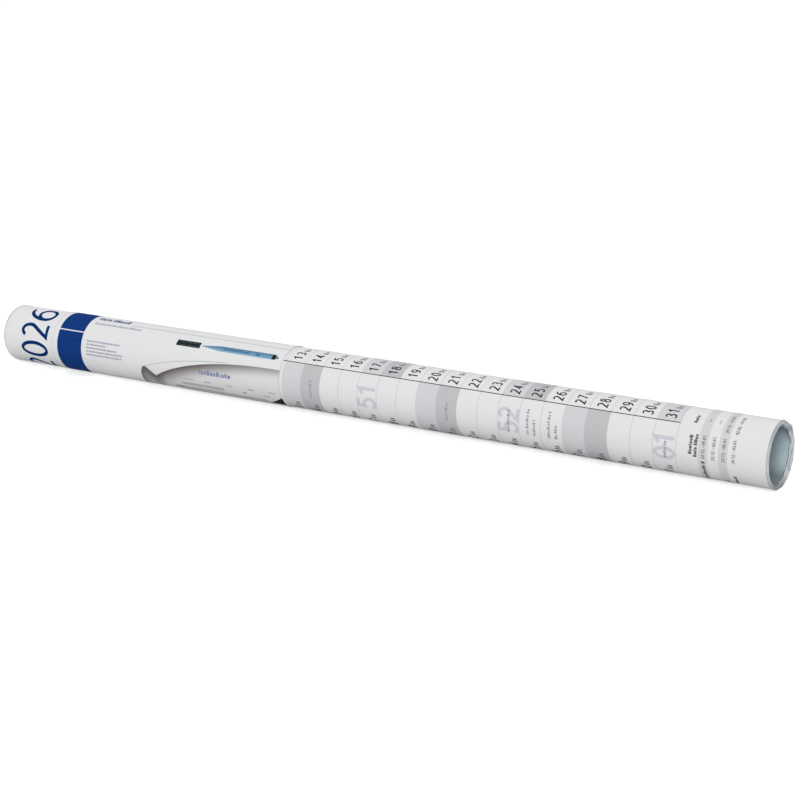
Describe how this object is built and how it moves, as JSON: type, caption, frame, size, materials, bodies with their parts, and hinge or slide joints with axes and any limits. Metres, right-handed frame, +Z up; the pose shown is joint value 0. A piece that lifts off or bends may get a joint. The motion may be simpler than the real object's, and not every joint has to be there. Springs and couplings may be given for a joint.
{
  "type": "rolled wall planner",
  "caption": "Dry erase wall planner as sold: a large laminated calendar sheet rolled print side out, with a paper label round it, shrink-wrapped in clear film, lying on its side.",
  "frame": {"origin": "centre of the bounding box's bottom face, on the surface that the roll lies on", "axes": "+X along the roll, towards the end away from the label; -Y is the front, which shows the first month's column; +Z up"},
  "size_m": [0.5972, 0.0418, 0.0414],
  "materials": {
    "laminate": "gloss laminated",
    "label_paper": "coated",
    "clear_film": "clear shrink film"
  },
  "bodies": {
    "root": {"planner_sheet": "laminate", "label_sheet": "label_paper", "film_sleeve": "clear_film"}
  },
  "joints": []
}
